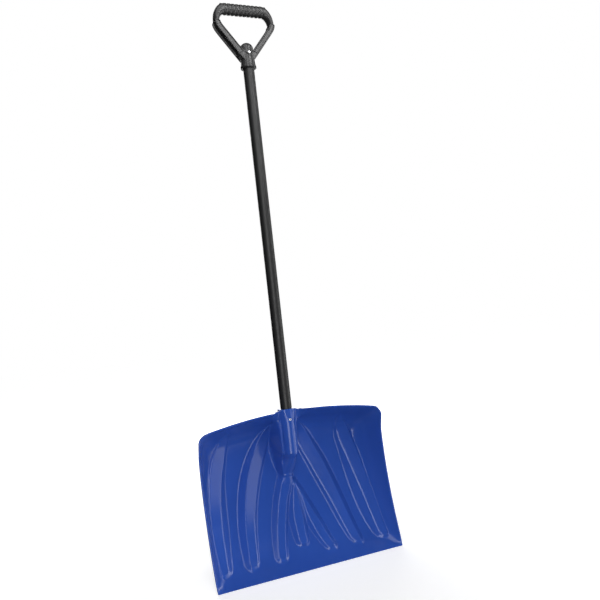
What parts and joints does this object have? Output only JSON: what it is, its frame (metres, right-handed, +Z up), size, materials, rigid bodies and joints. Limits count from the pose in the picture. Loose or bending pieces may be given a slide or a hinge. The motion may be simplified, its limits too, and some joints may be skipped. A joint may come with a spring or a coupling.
{
  "type": "snow shovel",
  "caption": "Deep ribbed plastic scoop riveted to a long straight sheathed shaft with a D-shaped hand grip, for lifting and pushing snow.",
  "frame": {"origin": "on the ground under the middle of the scoop's width and depth, level with the cutting edge", "axes": "+Z up along the shaft, +X across the scoop, and the scoop opens towards -Y"},
  "size_m": [0.4588, 0.1287, 1.316],
  "materials": {
    "blade": "glossy moulded, royal blue",
    "shaft_core": "dark coated steel tube",
    "shaft_sleeve": "satin black resin sheath",
    "d_grip": "satin black moulded",
    "rivet": "satin",
    "mandrel": "zinc plated"
  },
  "bodies": {
    "root": {"blade": "blade", "shaft_core": "shaft_core", "shaft_sleeve": "shaft_sleeve", "d_grip": "d_grip", "rivet_bodies": "rivet", "rivet_mandrels": "mandrel"}
  },
  "joints": []
}
